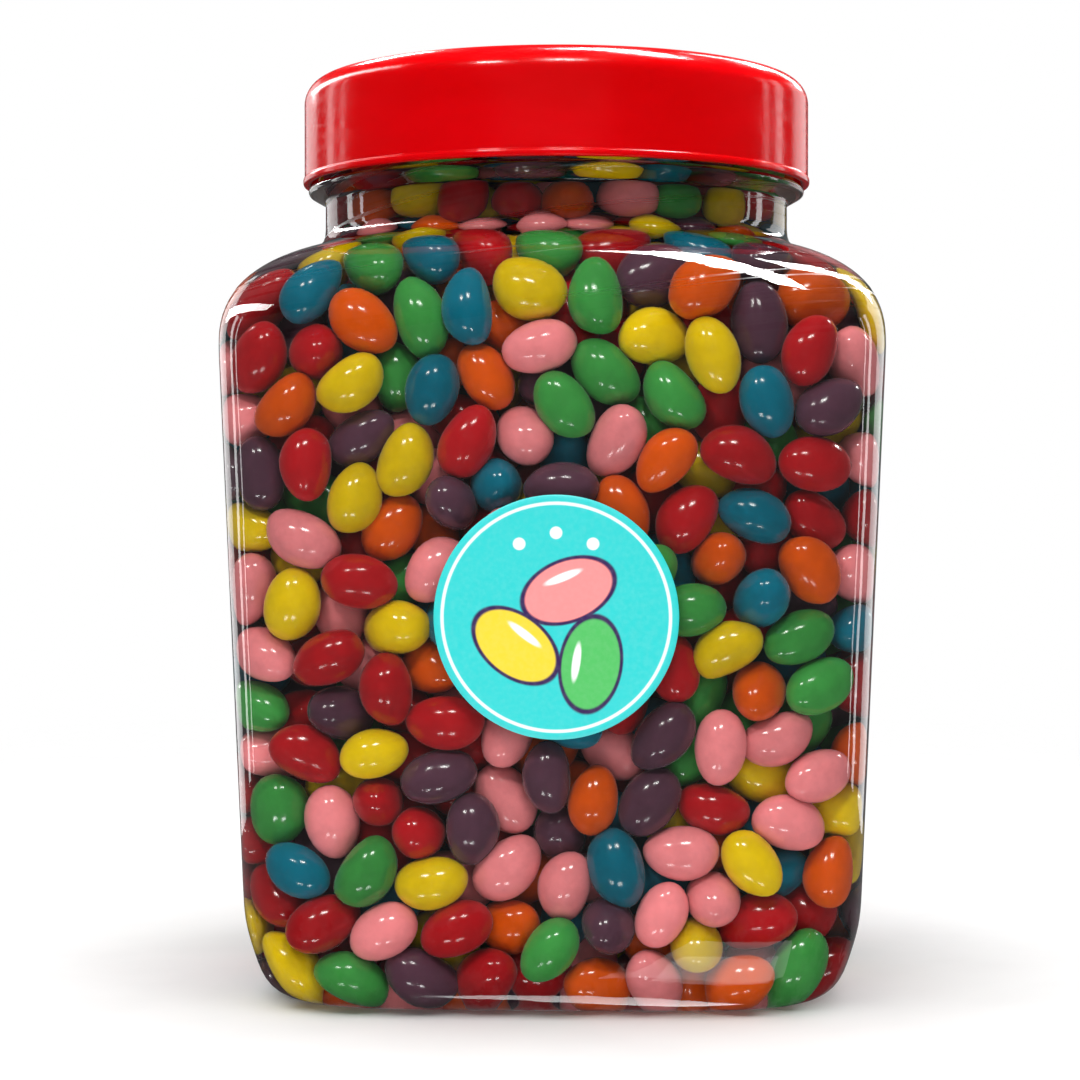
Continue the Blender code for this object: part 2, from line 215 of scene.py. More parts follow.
def new_object(name, mesh, material):
    mesh.shade_smooth()
    mesh.materials.append(material)
    obj = bpy.data.objects.new(name, mesh)
    bpy.context.scene.collection.objects.link(obj)
    return obj


def place(obj, body, slot, *nodes):
    """Sets what a piece rides on and hides the frame's pieces that it stands in for. The slot is not used.
    """
    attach(obj, body)
    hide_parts(*nodes)
    return obj


def rows_mesh(name, rows):
    """A closed skin through rows of points; a row of one point closes an end."""
    points = [tuple(point) for row in rows for point in row]
    starts = np.cumsum([0] + [len(row) for row in rows])
    faces = []
    for first, (lower, upper) in enumerate(zip(rows, rows[1:])):
        low, high = int(starts[first]), int(starts[first + 1])
        count = max(len(lower), len(upper))
        for k in range(count):
            after = (k + 1) % count
            if len(lower) == 1:
                faces.append((low, high + after, high + k))
            elif len(upper) == 1:
                faces.append((low + k, low + after, high))
            else:
                faces.append((low + k, low + after, high + after, high + k))
    mesh = bpy.data.meshes.new(name)
    mesh.from_pydata(points, [], faces)
    bm = bmesh.new()
    bm.from_mesh(mesh)
    bmesh.ops.recalc_face_normals(bm, faces=bm.faces)
    bm.to_mesh(mesh)
    bm.free()
    return mesh


def section_row(size, height, power):
    """A ring of the rounded square |x|^power + |y|^power = size^power."""
    if size < TINY:
        return np.array([(0, 0, height)])
    turn = np.arange(SEGMENTS) / SEGMENTS * math.tau
    cosine, sine = np.cos(turn).round(12), np.sin(turn).round(12)
    x = np.copysign(size * np.abs(cosine) ** (2 / power), cosine)
    y = np.copysign(size * np.abs(sine) ** (2 / power), sine)
    return np.stack([x, y, np.full(SEGMENTS, height)], axis=1)


def resampled(profile, step):
    """The profile with a point every step along it."""
    points = np.array(profile, float)
    lengths = np.sqrt((np.diff(points[:, :2], axis=0) ** 2).sum(axis=1))
    travel = np.concatenate([[0], np.cumsum(lengths)])
    marks = np.linspace(0, travel[-1], round(travel[-1] / step) + 1)
    return np.stack([np.interp(marks, travel, column) for column in points.T], axis=1)


def smoothed(profile, times):
    """The profile with its corners rounded, its ends kept."""
    for _ in range(times):
        middle = (profile[:-2] + 2 * profile[1:-1] + profile[2:]) / 4
        profile = np.concatenate([profile[:1], middle, profile[-1:]])
    return profile


def inset(profile, depth):
    """The profile moved inwards by a depth, along its own normals."""
    run = np.gradient(profile[:, :2], axis=0)
    run /= np.sqrt((run**2).sum(axis=1))[:, None]
    moved = profile.copy()
    moved[:, 0] = np.maximum(profile[:, 0] - run[:, 1] * depth, 0)
    moved[:, 1] += run[:, 0] * depth
    moved[0, 0] = 0
    return moved


# ---------------------------------------------------------------- jar


def shoulder_ring(part):
    """Ring of the shoulder, from part 0 on the body's side to part 1 at the foot of the neck."""

    def rise(across):
        return (1 - across**SHOULDER_POWER) ** (1 / SHOULDER_POWER)

    neck = 1 - (BODY_WIDTH / 2 - NECK_RADIUS) / SHOULDER_REACH
    across = blend(neck, 1, math.cos(math.pi / 2 * part) ** (2 / SHOULDER_POWER))
    across = min(max(across, neck), 1)
    size = BODY_WIDTH / 2 - SHOULDER_REACH * (1 - across)
    power = blend(SECTION_POWER, ROUND, rise(across) / rise(neck))
    return size, SHOULDER_START + SHOULDER_RISE * rise(across), power


def vessel_profile():
    """The jar's outer side (size, height, power), from the middle of its base up to its neck."""
    heel = BASE_WIDTH / 2 - HEEL_TAPER
    foot_outer = heel - HEEL_FILLET_REACH
    foot_inner = foot_outer - FOOT_WIDTH
    profile = [(0, PUSH_UP, ROUND)]
    for reach, rise, power in PUSH_UP_RINGS:
        profile.append((foot_inner * reach, PUSH_UP * rise, power))
    profile.append((foot_inner, 0, SECTION_POWER))
    for k in range(HEEL_STEPS + 1):
        angle = math.pi / 2 * k / HEEL_STEPS
        size = foot_outer + HEEL_FILLET_REACH * math.sin(angle)
        profile.append((size, HEEL_FILLET_HEIGHT * (1 - math.cos(angle)), SECTION_POWER))
    profile.append((BASE_WIDTH / 2, HEEL_HEIGHT, SECTION_POWER))
    profile += [shoulder_ring(k / SHOULDER_STEPS) for k in range(SHOULDER_STEPS + 1)]
    profile.append((NECK_RADIUS, BEAD_BOTTOM - 1 * MM, ROUND))
    profile = smoothed(resampled(profile, PROFILE_STEP), NECK_SMOOTHING)
    neck = np.argmax(profile[:, 1] > SHOULDER_START + SHOULDER_RISE / 2)
    return np.concatenate([smoothed(profile[:neck], PROFILE_SMOOTHING), profile[neck:]])


def thread_relief(turns, start):
    """How far, from 0 to 1, a thread stands up at every turn and height of a surface."""

    def relief(height):
        turn = np.arange(SEGMENTS) / SEGMENTS
        best = np.zeros(SEGMENTS)
        for lap in range(-1, 3):
            along = turn + lap
            away = np.abs(height - start - THREAD_PITCH * along)
            side = (THREAD_ROOT_HALF - away) / (THREAD_ROOT_HALF - THREAD_CREST_HALF)
            ends = np.minimum(along - turns[0], turns[1] - along) / THREAD_FADE
            best = np.maximum(best, np.clip(side, 0, 1) * np.clip(ends, 0, 1))
        return best * best * (3 - 2 * best)

    return relief


def threaded_rows(radius, low, high, height_of_thread, relief):
    """Rings of a round wall with a thread on it; a negative height points inwards."""
    turn = np.arange(SEGMENTS) / SEGMENTS * math.tau
    rows = []
    for height in np.linspace(low, high, round(abs(high - low) / THREAD_STEP) + 1):
        reach = radius + height_of_thread * relief(height)
        rows.append(np.stack([np.cos(turn) * reach, np.sin(turn) * reach, np.full(SEGMENTS, height)], 1))
    return rows


def bead_points():
    """The outer line from the neck over the transfer bead, as (radius, height); it slopes below."""
    points = [(NECK_RADIUS + out * MM, BEAD_BOTTOM + up * MM) for out, up in BEAD_FOOT]
    edge = BEAD_RADIUS - BEAD_EDGE
    out, up = BEAD_SLOPE_START
    for k in range(4):
        points.append((blend(NECK_RADIUS + out, edge, k / 3), BEAD_BOTTOM + up + BEAD_SLOPE_RISE * k))
    middle = BEAD_TOP - BEAD_EDGE
    for k in range(1, BEAD_STEPS + 1):
        angle = math.pi * (k / BEAD_STEPS - 0.5)
        points.append((edge + BEAD_EDGE * math.cos(angle), middle + BEAD_EDGE * math.sin(angle)))
    points.append((FINISH_RADIUS + 0.5 * MM, BEAD_TOP + 0.05 * MM))
    points.append((FINISH_RADIUS, BEAD_TOP + 0.4 * MM))
    return points


def build_jar(material):
    """From the middle of the base up the outside, over the rim and down the inside."""
    outer = vessel_profile()
    inner = inset(outer, WALL)
    neck_start = outer[-1, 1]
    rows = [section_row(*ring) for ring in outer]
    rows += [section_row(radius, height, ROUND) for radius, height in bead_points()]
    relief = thread_relief(JAR_THREAD_TURNS, RIM_TOP - THREAD_BELOW_RIM)
    rows += threaded_rows(FINISH_RADIUS, BEAD_TOP + 0.6 * MM, RIM_TOP - RIM_CHAMFER, THREAD_HEIGHT, relief)
    inside = NECK_RADIUS - WALL
    for part in (0.3, 0.7, 1):
        angle = math.pi / 2 * part
        rim = FINISH_RADIUS - RIM_CHAMFER * (1 - math.cos(angle))
        rows.append(section_row(rim, RIM_TOP - RIM_CHAMFER * (1 - math.sin(angle)), ROUND))
    for part in (0, 0.3, 0.7, 1):
        angle = math.pi / 2 * part
        rim = inside + RIM_CHAMFER * (1 - math.sin(angle))
        rows.append(section_row(rim, RIM_TOP - RIM_CHAMFER * (1 - math.cos(angle)), ROUND))
    for height in np.linspace(RIM_TOP - 2 * MM, neck_start + 1 * MM, 12):
        rows.append(section_row(inside, height, ROUND))
    rows += [section_row(*ring) for ring in inner[::-1]]
    jar = new_object("clear_jar", rows_mesh("clear_jar", rows), material)
    return place(jar, "jar", "clear_jar", "jar_body")


# ---------------------------------------------------------------- cap, liner, label


def round_row(radius, height):
    return section_row(radius, height, ROUND)


def build_cap(material):
    """From the gate in the middle of the top, down the skirt, round its lip and up the inside."""
    radius = CAP_DIAMETER / 2
    inside = radius - CAP_WALL
    ceiling = TOTAL_HEIGHT - CAP_TOP_THICKNESS
    rows = [round_row(reach * MM, TOTAL_HEIGHT - sink * MM) for reach, sink in CAP_GATE]
    rows += [round_row(blend(4 * MM, radius - CAP_EDGE_RADIUS, k / 8), TOTAL_HEIGHT) for k in range(8)]
    for k in range(CAP_EDGE_STEPS + 1):
        angle = math.pi / 2 * k / CAP_EDGE_STEPS
        x = radius - CAP_EDGE_RADIUS * (1 - math.sin(angle))
        rows.append(round_row(x, TOTAL_HEIGHT - CAP_EDGE_RADIUS * (1 - math.cos(angle))))
    lip_top = CAP_BOTTOM + CAP_LIP_HEIGHT
    skirt_top = TOTAL_HEIGHT - CAP_EDGE_RADIUS
    rows += [round_row(radius, blend(skirt_top, lip_top + 0.3 * MM, k / 6)) for k in range(1, 7)]
    for k in range(CAP_LIP_STEPS + 1):
        angle = math.pi * k / CAP_LIP_STEPS
        bulge = math.sin(angle) ** 0.6
        height = lip_top - CAP_LIP_HEIGHT / 2 * (1 - math.cos(angle)) * 0.94
        rows.append(round_row(radius + CAP_LIP_REACH * bulge, height))
    rows.append(round_row(radius - 0.2 * MM, CAP_BOTTOM))
    rows.append(round_row(inside + 0.3 * MM, CAP_BOTTOM))
    start = RIM_TOP - THREAD_BELOW_RIM - THREAD_OFFSET
    relief = thread_relief(CAP_THREAD_TURNS, start)
    rows += threaded_rows(inside, CAP_BOTTOM + 0.3 * MM, ceiling - CAP_INNER_CORNER, -THREAD_HEIGHT, relief)
    for k in range(1, 6):
        angle = math.pi / 2 * k / 5
        x = inside - CAP_INNER_CORNER / 2 * (1 - math.cos(angle))
        rows.append(round_row(x, ceiling - CAP_INNER_CORNER * (1 - math.sin(angle))))
    rows += [round_row(blend(inside - CAP_INNER_CORNER, 0, k / 6), ceiling) for k in range(1, 7)]
    cap = new_object("red_cap", rows_mesh("red_cap", rows), material)
    return place(cap, "cap", "red_plastic", "screw_cap")


def build_liner(material):
    """The foam disc, with softened edges."""
    low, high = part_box("cap_liner")
    radius = (high.x - low.x) / 2
    edge = 0.25 * MM
    rows = [round_row(radius * k / 8, high.z) for k in range(8)]
    rows += [round_row(radius - edge, high.z), round_row(radius, high.z - edge)]
    rows += [round_row(radius, low.z + edge), round_row(radius - edge, low.z)]
    rows += [round_row(radius * k / 8, low.z) for k in range(7, -1, -1)]
    liner = new_object("foam_liner", rows_mesh("foam_liner", rows), material)
    return place(liner, "liner", "foam_liner", "cap_liner")


def front_of_jar(x, height):
    """The Y of the jar's outer front face at an x and a height on its straight side."""
    part = (height - HEEL_HEIGHT) / (SHOULDER_START - HEEL_HEIGHT)
    size = blend(BASE_WIDTH, BODY_WIDTH, part) / 2
    return -((size**SECTION_POWER - abs(x) ** SECTION_POWER) ** (1 / SECTION_POWER))


def label_row(radius, lift):
    """A ring of the label, a lift in front of the jar's face."""
    middle = (LABEL_LOW + LABEL_HIGH) / 2
    count = LABEL_SEGMENTS if radius > 0 else 1
    row = []
    for k in range(count):
        angle = math.tau * k / count
        x = middle.x + radius * math.cos(angle)
        z = middle.z + radius * math.sin(angle)
        row.append((x, front_of_jar(x, z) - lift, z))
    return np.array(row)


def build_label(material):
    """A thin disc that follows the jar's front face."""
    radius = (LABEL_HIGH.x - LABEL_LOW.x) / 2
    face = GAP + LABEL_THICKNESS
    bevel = 0.07 * MM
    rows = [label_row(radius * k / LABEL_RINGS, face) for k in range(LABEL_RINGS)]
    rows += [label_row(radius - bevel, face), label_row(radius, face - bevel), label_row(radius, GAP)]
    rows += [label_row(radius * k / 6, GAP) for k in range(5, -1, -1)]
    label = new_object("round_label", rows_mesh("round_label", rows), material)
    return place(label, "jar", "label_print", "front_label")


# ---------------------------------------------------------------- packing


def wall_distance(profile, top):
    """A function that says how far points are inside the vessel, and in which direction inwards is.

    The vessel's half section is measured once on a grid of sizes and heights.
    """
    line = np.concatenate([profile, [(NECK_RADIUS - WALL, top, ROUND), (0, top, ROUND)]])
    cell = 1 * MM
    low = -10 * MM
    sizes = np.arange(0, 95) * cell
    heights = low + np.arange(0, 230) * cell
    u, v = np.meshgrid(sizes, heights, indexing="ij")
    nearest = np.full(u.shape, 1.0)
    inside = np.zeros(u.shape, bool)
    for (au, av, _), (bu, bv, _) in zip(line, line[1:]):
        along = ((u - au) * (bu - au) + (v - av) * (bv - av)) / ((bu - au) ** 2 + (bv - av) ** 2 + TINY**2)
        along = np.clip(along, 0, 1)
        away = np.hypot(u - blend(au, bu, along), v - blend(av, bv, along))
        nearest = np.minimum(nearest, away)
        if av != bv:
            crossing = au + (v - av) * (bu - au) / (bv - av)
            inside ^= ((av > v) != (bv > v)) & (crossing > u)
    table = np.where(inside, nearest, -nearest)
    climb = profile[:, 1] > HEEL_HEIGHT
    power_heights, powers = profile[climb, 1], profile[climb, 2]

    def read(points):
        power = np.interp(points[:, 2], power_heights, powers)
        size = (np.abs(points[:, 0]) ** power + np.abs(points[:, 1]) ** power) ** (1 / power)
        a = np.clip(size / cell, 0, len(sizes) - 1.001)
        b = np.clip((points[:, 2] - low) / cell, 0, len(heights) - 1.001)
        i, j = a.astype(int), b.astype(int)
        a, b = a - i, b - j
        below = table[i, j] * (1 - a) + table[i + 1, j] * a
        above = table[i, j + 1] * (1 - a) + table[i + 1, j + 1] * a
        return below * (1 - b) + above * b

    def measure(points):
        here = read(points)
        slope = np.stack([read(points + np.eye(3)[axis] * cell / 2) - here for axis in range(3)], axis=1)
        slope /= cell / 2
        steep = np.sqrt((slope**2).sum(axis=1)) + 0.05
        return here / steep, slope / steep[:, None]

    return measure


def close_pairs(centres, reach):
    """Every pair of points closer than reach."""
    square = (centres**2).sum(axis=1)
    apart = square[:, None] + square[None, :] - 2 * centres @ centres.T
    first, second = np.nonzero(np.triu(apart < reach**2, 1))
    return first, second


def pack_beans(rng, measure, count, fixed):
    """Centres, axes and sizes of beans packed into the vessel under beans that stay where they are.

    A bean counts as three balls in a row. The beans grow while balls are pushed apart and away
    from the wall.
    """
    fixed_centres, fixed_axes, fixed_sizes = fixed
    kept = len(fixed_centres)
    half = np.array([BODY_WIDTH / 2, BODY_WIDTH / 2, FILL_TOP])
    centres = np.empty((0, 3))
    while len(centres) < count:
        tries = rng.uniform((-1, -1, 0), (1, 1, 1), (count, 3)) * half
        centres = np.concatenate([centres, tries[measure(tries)[0] > START_DEPTH]])
    centres = np.concatenate([fixed_centres, centres[:count]])
    axes = rng.normal(size=(count, 3))
    axes /= np.sqrt((axes**2).sum(axis=1))[:, None]
    axes = np.concatenate([fixed_axes, axes])
    sizes = np.concatenate([fixed_sizes, rng.uniform(*BEAN_SIZES, count)])
    total = kept + count
    margins = WALL_MARGIN + HELD_OFF * rng.uniform(0, 1, total) ** 3
    radii = np.array([BEAN_END_RADIUS, BEAN_WIDTH / 2, BEAN_END_RADIUS])
    offsets = np.array([-1, 0, 1]) * BEAN_END_OFFSET
    for step in range(PACK_STEPS):
        grown = min(blend(PACK_START, 1, step / (PACK_STEPS * PACK_GROWING)), 1)
        scale = sizes * grown
        scale[:kept] = sizes[:kept]
        arms = scale[:, None] * offsets
        ball_radii = scale[:, None] * radii
        if step % PACK_REFRESH == 0:
            reach = BEAN_LENGTH * BEAN_SIZES[1] * grown + NEIGHBOUR_SLACK
            first, second = close_pairs(centres, reach)
        balls = centres[:, None, :] + arms[:, :, None] * axes[:, None, :]
        away = balls[first][:, :, None, :] - balls[second][:, None, :, :]
        distance = np.sqrt((away**2).sum(axis=3)) + TINY
        reach = ball_radii[first][:, :, None] + ball_radii[second][:, None, :] + BEAN_MARGIN
        touching = np.nonzero(reach > distance)
        overlap = (reach - distance)[touching]
        force = away[touching] * (overlap / distance[touching] * PACK_PUSH)[:, None]
        here = first[touching[0]] * 3 + touching[1]
        there = second[touching[0]] * 3 + touching[2]
        given = [np.bincount(here, force[:, axis], total * 3) for axis in range(3)]
        taken = [np.bincount(there, force[:, axis], total * 3) for axis in range(3)]
        push = np.stack(given, axis=1) - np.stack(taken, axis=1)
        depth, inwards = measure(balls.reshape(-1, 3))
        short = np.maximum(ball_radii.ravel() + np.repeat(margins, 3) - depth, 0)
        push += inwards * short[:, None]
        spots = balls.reshape(-1, 3)
        push[:, 2] += np.maximum(ball_radii.ravel() + BASE_LIFT - spots[:, 2], 0)
        radius = np.hypot(spots[:, 0], spots[:, 1])
        over = np.maximum(radius + ball_radii.ravel() - HEAP_RADIUS, 0)
        over *= np.clip((spots[:, 2] - HEAP_FROM) / HEAP_OVER, 0, 1)
        push[:, :2] -= spots[:, :2] * (over / (radius + TINY))[:, None]
        push = push.reshape(total, 3, 3)
        centres[kept:] += push.sum(axis=1)[kept:] / 2
        twist = (push * arms[:, :, None]).sum(axis=1) / (arms**2).sum(axis=1)[:, None]
        axes[kept:] += twist[kept:] / 2
        axes /= np.sqrt((axes**2).sum(axis=1))[:, None]
    return centres[kept:], axes[kept:], sizes[kept:]


# ---------------------------------------------------------------- beans


def ball_template(cuts):
    """Points and four-sided faces of a unit ball, even all over."""
    bm = bmesh.new()
    bmesh.ops.create_cube(bm, size=2)
    bmesh.ops.subdivide_edges(bm, edges=bm.edges, cuts=cuts - 1, use_grid_fill=True)
    points = np.array([tuple(vert.co) for vert in bm.verts])
    faces = np.array([[vert.index for vert in face.verts] for face in bm.faces])
    bm.free()
    points = np.tan(points * math.pi / 4)
    return points / np.sqrt((points**2).sum(axis=1))[:, None], faces


def bean_points(template, rng, size):
    """One bean about the origin, its long axis along X: bent, fuller at one end, slightly lumpy."""
    bend = rng.uniform(*BEAN_BENDS)
    taper = rng.uniform(*BEAN_TAPERS)
    girth = rng.uniform(*BEAN_GIRTHS)
    length = rng.uniform(*BEAN_LENGTHS)
    along = template[:, 0]
    directions = rng.normal(size=(3, 3)) * LUMP_WAVES
    phases = rng.uniform(0, math.tau, 3)
    lumps = 1 + LUMP_DEPTH * np.sin(template @ directions + phases).sum(axis=1)
    width = girth * (1 + taper * along) * lumps
    x = along * BEAN_LENGTH / 2 * length * lumps
    y = template[:, 1] * BEAN_WIDTH / 2 * width
    z = template[:, 2] * BEAN_THICKNESS / 2 * width + bend * (0.35 - along**2)
    return np.stack([x, y, z], axis=1) * size


def bean_frame(axis, roll):
    """Rows of the turning that lays X along the axis."""
    helper = np.array((0, 0, 1.0)) if abs(axis[2]) < 0.9 else np.array((1.0, 0, 0))
    side = np.cross(helper, axis)
    side /= np.sqrt(side @ side)
    other = np.cross(axis, side)
    cosine, sine = math.cos(roll), math.sin(roll)
    return np.stack([axis, cosine * side + sine * other, cosine * other - sine * side])


def top_beans():
    """Where the frame's own loose beans lie: name, centre, axis and size."""
    found = []
    for name in sorted(n for n in frame["nodes"] if n.startswith("jelly_bean_")):
        points = np.array([vert.co for vert in frame["nodes"][name].data.vertices])
        points = np.unique(points.round(6), axis=0)
        axis = np.linalg.eigh(np.cov(points.T))[1][:, -1]
        along = points @ axis
        middle = (along.min() + along.max()) / 2
        centre = points.mean(axis=0)
        centre += axis * (middle - centre @ axis)
        found.append((name, centre, axis, (along.max() - along.min()) / BEAN_LENGTH))
    return found


def beans_mesh(name, template, faces, beans, rng):
    """One mesh of many beans, each with a tone of its own."""
    count, corners = len(template), len(faces) * 4
    points = np.empty((len(beans), count, 3))
    for k, (centre, axis, size) in enumerate(beans):
        turned = bean_points(template, rng, size) @ bean_frame(axis, rng.uniform(0, math.tau))
        points[k] = turned + centre
    all_faces = (faces[None] + np.arange(len(beans))[:, None, None] * count).reshape(-1)
    mesh = bpy.data.meshes.new(name)
    mesh.vertices.add(len(beans) * count)
    mesh.vertices.foreach_set("co", points.astype(np.float32).ravel())
    mesh.loops.add(len(beans) * corners)
    mesh.loops.foreach_set("vertex_index", all_faces.astype(np.int32))
    mesh.polygons.add(len(beans) * len(faces))
    mesh.polygons.foreach_set("loop_start", np.arange(0, len(all_faces), 4, dtype=np.int32))
    mesh.update(calc_edges=True)
    tone = mesh.attributes.new("tone", "FLOAT", "POINT")
    tone.data.foreach_set("value", np.repeat(rng.uniform(0, 1, len(beans)), count).astype(np.float32))
    return mesh


def colour_picks(rng, count):
    """A colour's name for each bean, by the colours' shares."""
    names = list(BEANS)
    shares = np.array([BEANS[name][1] for name in names])
    return [names[k] for k in rng.choice(len(names), count, p=shares / shares.sum())]


def build_beans(materials, solids):
    """The top layer's beans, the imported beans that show, by colour, and the hidden ones."""
    rng = np.random.default_rng(SEED)
    loose = top_beans()
    slots = {part["node"]: part["material_slot"] for part in frame["record"]["subparts"]}
    fine, fine_faces = ball_template(TOP_BEAN_CUTS)
    for name, centre, axis, size in loose:
        colour = slots[name].replace("bean_", "")
        mesh = beans_mesh(name, fine, fine_faces, [(centre, axis, size)], rng)
        bean = new_object(name.replace("jelly_bean", "top_bean"), mesh, materials[colour])
        solids.objects.link(place(bean, "jar", "bean_" + colour, name))
    profile = inset(vessel_profile(), WALL)
    measure = wall_distance(profile, FILL_TOP + PACK_RISE)
    fill = frame["nodes"]["candy_fill"].data
    bm = bmesh.new()
    bm.from_mesh(fill)
    volume = bm.calc_volume()
    bm.free()
    one = math.pi / 6 * BEAN_LENGTH * BEAN_WIDTH * BEAN_THICKNESS
    count = round(volume * PACKED_SHARE / one)
    fixed = [np.array(column) for column in zip(*[(c, a, s) for _, c, a, s in loose])]
    centres, axes, sizes = pack_beans(rng, measure, count, fixed)
    picks = np.array(colour_picks(rng, count))
    shows = (measure(centres)[0] < FINE_DEPTH) | (centres[:, 2] > FINE_HEIGHT)
    near, near_faces = ball_template(OUTER_BEAN_CUTS)
    for colour in BEANS:
        chosen = np.nonzero((picks == colour) & shows)[0]
        beans = [(centres[k], axes[k], sizes[k]) for k in chosen]
        mesh = beans_mesh(f"beans_{colour}", near, near_faces, beans, rng)
        obj = new_object(f"beans_{colour}", mesh, materials[colour])
        solids.objects.link(place(obj, "jar", "bean_" + colour, "candy_fill"))
    far, far_faces = ball_template(INNER_BEAN_CUTS)
    beans = [(centres[k], axes[k], sizes[k]) for k in np.nonzero(~shows)[0]]
    mesh = beans_mesh("beans_inside", far, far_faces, beans, rng)
    place(new_object("beans_inside", mesh, materials["bulk"]), "jar", "bean_bulk", "candy_fill")


# ---------------------------------------------------------------- materials


class Graph:
    """A new material and short calls that add nodes to it."""

    def __init__(self, name):
        self.material = bpy.data.materials.new(name)
        self.material.use_nodes = True
        self.tree = self.material.node_tree
        self.shader = self.tree.nodes["Principled BSDF"]
        self.output = self.tree.nodes["Material Output"]

    def feed(self, socket, value):
        if isinstance(value, bpy.types.NodeSocket):
            self.tree.links.new(value, socket)
        elif isinstance(value, tuple) and len(value) == 3 and socket.type == "RGBA":
            socket.default_value = (*value, 1)
        else:
            socket.default_value = value

    def node(self, kind, inputs=None, **settings):
        node = self.tree.nodes.new(kind)
        for key, value in settings.items():
            setattr(node, key, value)
        for key, value in (inputs or {}).items():
            self.feed(node.inputs[key], value)
        return node

    def math(self, operation, a, b=0.0):
        return self.node("ShaderNodeMath", {0: a, 1: b}, operation=operation).outputs[0]

    def place(self, stretch=(1, 1, 1), turn=(0, 0, 0)):
        """Object coordinates, turned and stretched."""
        where = self.node("ShaderNodeTexCoord").outputs["Object"]
        if turn != (0, 0, 0):
            where = self.node("ShaderNodeMapping", {"Vector": where, "Rotation": turn}).outputs[0]
        if stretch != (1, 1, 1):
            where = self.node("ShaderNodeMapping", {"Vector": where, "Scale": stretch}).outputs[0]
        return where

    def noise(self, scale, detail=2.0, roughness=0.5, stretch=(1, 1, 1), turn=(0, 0, 0)):
        where = self.place(stretch, turn)
        inputs = {"Vector": where, "Scale": scale, "Detail": detail, "Roughness": roughness}
        return self.node("ShaderNodeTexNoise", inputs).outputs[0]

    def ramp(self, value, low, high, to_low=0.0, to_high=1.0):
        """The value's range low to high, mapped smoothly to another range."""
        inputs = {"Value": value, "From Min": low, "From Max": high, "To Min": to_low, "To Max": to_high}
        return self.node("ShaderNodeMapRange", inputs, interpolation_type="SMOOTHSTEP").outputs[0]

    def mix(self, factor, a, b):
        node = self.tree.nodes.new("ShaderNodeMix")
        node.data_type = "RGBA"
        self.feed(node.inputs[0], factor)
        self.feed(node.inputs[6], a)
        self.feed(node.inputs[7], b)
        return node.outputs[2]

    def bump(self, height, strength, distance):
        inputs = {"Height": height, "Strength": strength, "Distance": distance}
        self.feed(self.shader.inputs["Normal"], self.node("ShaderNodeBump", inputs).outputs[0])

    def set(self, **values):
        for key, value in values.items():
            self.feed(self.shader.inputs[key.replace("_", " ")], value)


def tinted(colour, factor):
    return tuple(min(channel * factor, 1.0) for channel in colour)


def bean_material(name, colour):
    """A polished sugar shell: cloudy colour, a tone for each bean, fine pits and a wet gloss."""
    graph = Graph("bean_" + name)
    tone = graph.node("ShaderNodeAttribute", attribute_name="tone").outputs["Fac"]
    cloud = graph.noise(260, 3.0, 0.6)
    fine = graph.noise(1400, 2.0)
    shade = graph.math("MULTIPLY", tone, 0.72)
    shade = graph.math("ADD", shade, graph.ramp(cloud, 0.3, 0.7, 0, 0.28))
    deep = graph.mix(shade, tinted(colour, 0.70), tinted(colour, 1.12))
    pale = tuple(blend(channel, 0.8, 0.16) for channel in colour)
    graph.set(Base_Color=graph.mix(graph.ramp(fine, 0.60, 0.78, 0, 0.07), deep, pale))
    graph.set(Roughness=graph.ramp(fine, 0.2, 0.8, 0.10, 0.17))
    graph.shader.inputs["IOR"].default_value = 1.48
    graph.shader.inputs["Sheen Weight"].default_value = 0.08
    graph.shader.inputs["Sheen Roughness"].default_value = 0.4
    graph.shader.inputs["Subsurface Weight"].default_value = 0.15
    graph.shader.inputs["Subsurface Radius"].default_value = (1.0, 0.6, 0.5)
    graph.shader.inputs["Subsurface Scale"].default_value = 0.002
    graph.bump(graph.math("ADD", graph.noise(420, 2.0), graph.math("MULTIPLY", fine, 0.15)), 0.06, 0.0004)
    return graph.material


def bulk_material():
    """The hidden beans: each takes one of the colours by its tone."""
    graph = Graph("bean_bulk")
    tone = graph.node("ShaderNodeAttribute", attribute_name="tone").outputs["Fac"]
    ramp = graph.node("ShaderNodeValToRGB", {"Fac": tone})
    ramp.color_ramp.interpolation = "CONSTANT"
    start = 0.0
    for k, (colour, share) in enumerate(BEANS.values()):
        stops = ramp.color_ramp.elements
        stop = stops[k] if k < len(stops) else stops.new(start)
        stop.position = min(start, 1.0)
        stop.color = (*tinted(colour, 0.9), 1)
        start += share
    cloud = graph.noise(260, 3.0, 0.6)
    shade = graph.ramp(cloud, 0.3, 0.7, 0, 0.15)
    graph.set(Base_Color=graph.mix(shade, ramp.outputs["Color"], (0.3, 0.2, 0.15)))
    graph.set(Roughness=graph.ramp(cloud, 0.2, 0.8, 0.12, 0.2))
    graph.bump(cloud, 0.06, 0.0004)
    return graph.material


